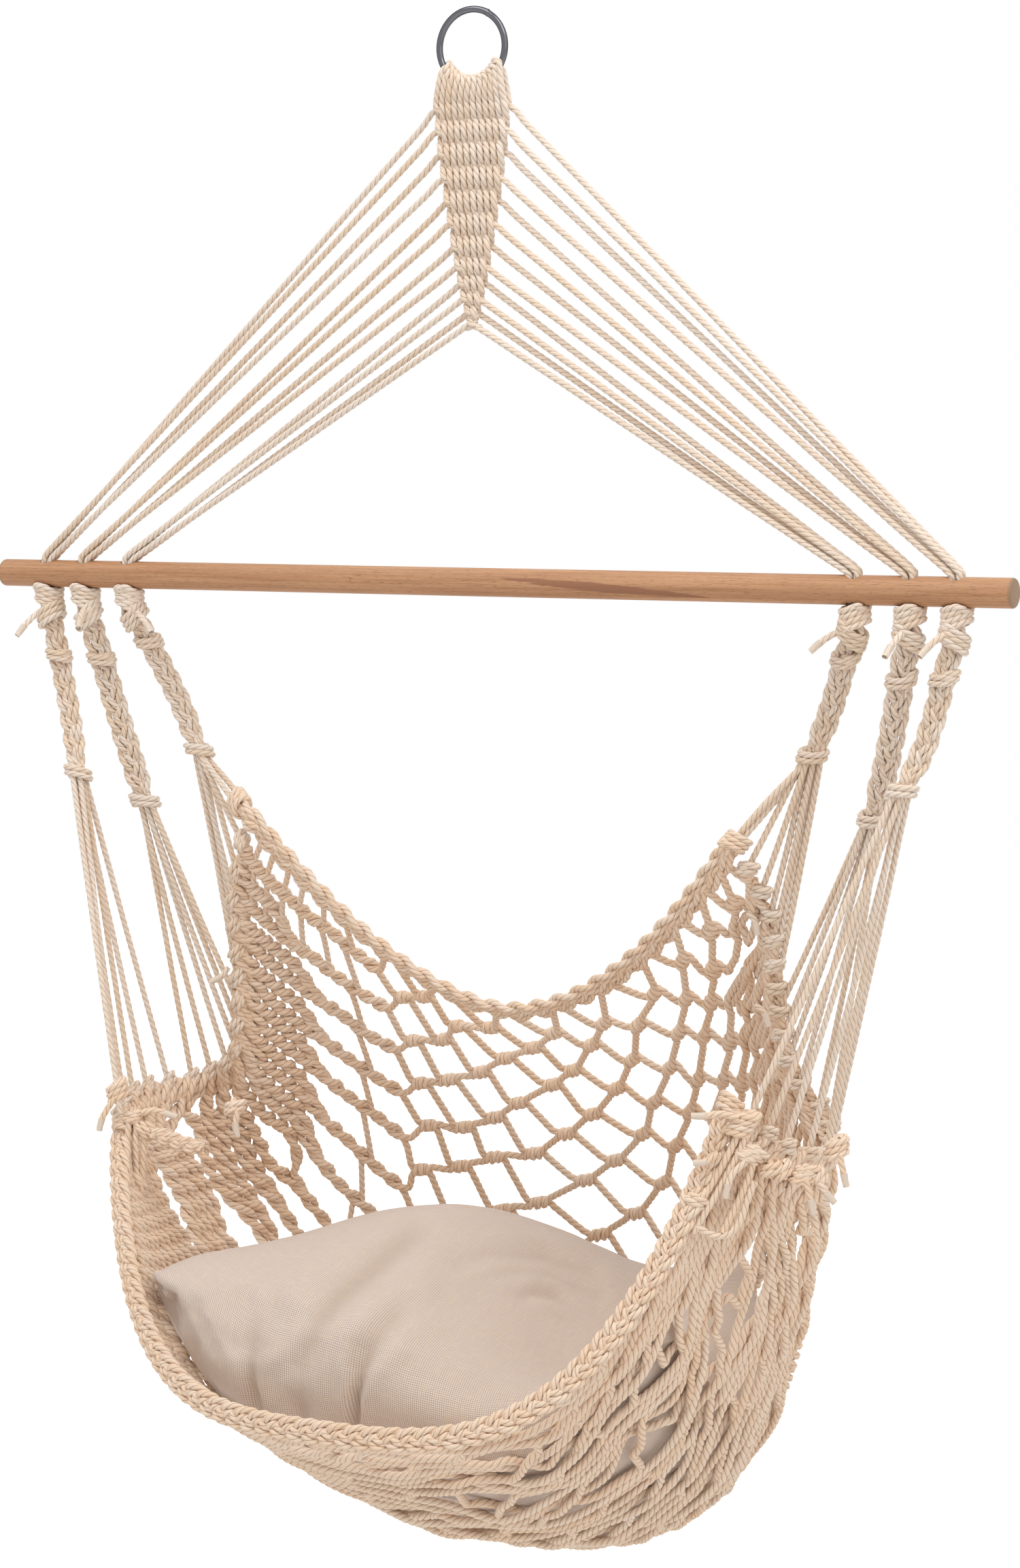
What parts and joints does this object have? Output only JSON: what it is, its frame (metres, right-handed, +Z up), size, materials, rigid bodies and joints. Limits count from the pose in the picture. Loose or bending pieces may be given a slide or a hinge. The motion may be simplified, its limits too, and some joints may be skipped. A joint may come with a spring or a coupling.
{
  "type": "hammock chair",
  "caption": "Hanging chair of knotted cotton cord: a steel ring, a woven clew, a wooden spreader bar, braided straps, an open net seat and a loose cushion.",
  "frame": {"origin": "the place inside the top of the ring where a hook bears", "axes": "+X along the spreader bar to the sitter's left, +Y to the back of the seat, +Z up"},
  "size_m": [1, 0.5726, 1.3659],
  "materials": {
    "cotton": "matte",
    "steel": "polished",
    "wood": "satin",
    "linen": "matte"
  },
  "bodies": {
    "ring": {"hanging_ring": "steel"},
    "clew_head": {"ring_loops": "cotton"},
    "harness": {"clew_weave": "cotton", "harness_cord_left_1": "cotton", "harness_cord_left_2": "cotton", "harness_cord_left_3": "cotton", "harness_cord_left_4": "cotton", "harness_cord_left_5": "cotton", "harness_cord_left_6": "cotton", "harness_cord_left_7": "cotton", "harness_cord_left_8": "cotton", "harness_cord_left_9": "cotton", "harness_cord_left_10": "cotton", "harness_cord_left_11": "cotton", "harness_cord_left_12": "cotton", "harness_cord_right_1": "cotton", "harness_cord_right_2": "cotton", "harness_cord_right_3": "cotton", "harness_cord_right_4": "cotton", "harness_cord_right_5": "cotton", "harness_cord_right_6": "cotton", "harness_cord_right_7": "cotton", "harness_cord_right_8": "cotton", "harness_cord_right_9": "cotton", "harness_cord_right_10": "cotton", "harness_cord_right_11": "cotton", "harness_cord_right_12": "cotton", "spreader_bar": "wood"},
    "seat": {"left_outer_top_knot": "cotton", "left_middle_top_knot": "cotton", "left_inner_top_knot": "cotton", "right_outer_top_knot": "cotton", "right_middle_top_knot": "cotton", "right_inner_top_knot": "cotton", "left_outer_braid": "cotton", "left_middle_braid": "cotton", "left_inner_braid": "cotton", "right_outer_braid": "cotton", "right_middle_braid": "cotton", "right_inner_braid": "cotton", "left_outer_fan": "cotton", "left_middle_fan": "cotton", "left_inner_fan": "cotton", "right_outer_fan": "cotton", "right_middle_fan": "cotton", "right_inner_fan": "cotton", "seat_net": "cotton", "back_rim_braid": "cotton", "front_rim_braid": "cotton"},
    "cushion": {"seat_cushion": "linen"}
  },
  "joints": [
    {"name": "ring_sway", "type": "hinge", "parent": "ring", "child": "clew_head", "pos_m": [0, 0, -0.029], "axis": [0, 1, 0], "range_deg": [-20, 20]},
    {"name": "clew_swing", "type": "hinge", "parent": "clew_head", "child": "harness", "pos_m": [0, 0, -0.0767], "axis": [1, 0, 0], "range_deg": [-25, 25]},
    {"name": "seat_swing", "type": "hinge", "parent": "harness", "child": "seat", "pos_m": [0, 0, -0.489], "axis": [1, 0, 0], "range_deg": [-25, 25]},
    {"name": "cushion_lift", "type": "slide", "parent": "seat", "child": "cushion", "axis": [0, -0.6, 0.8], "range_m": [0, 0.25]}
  ]
}
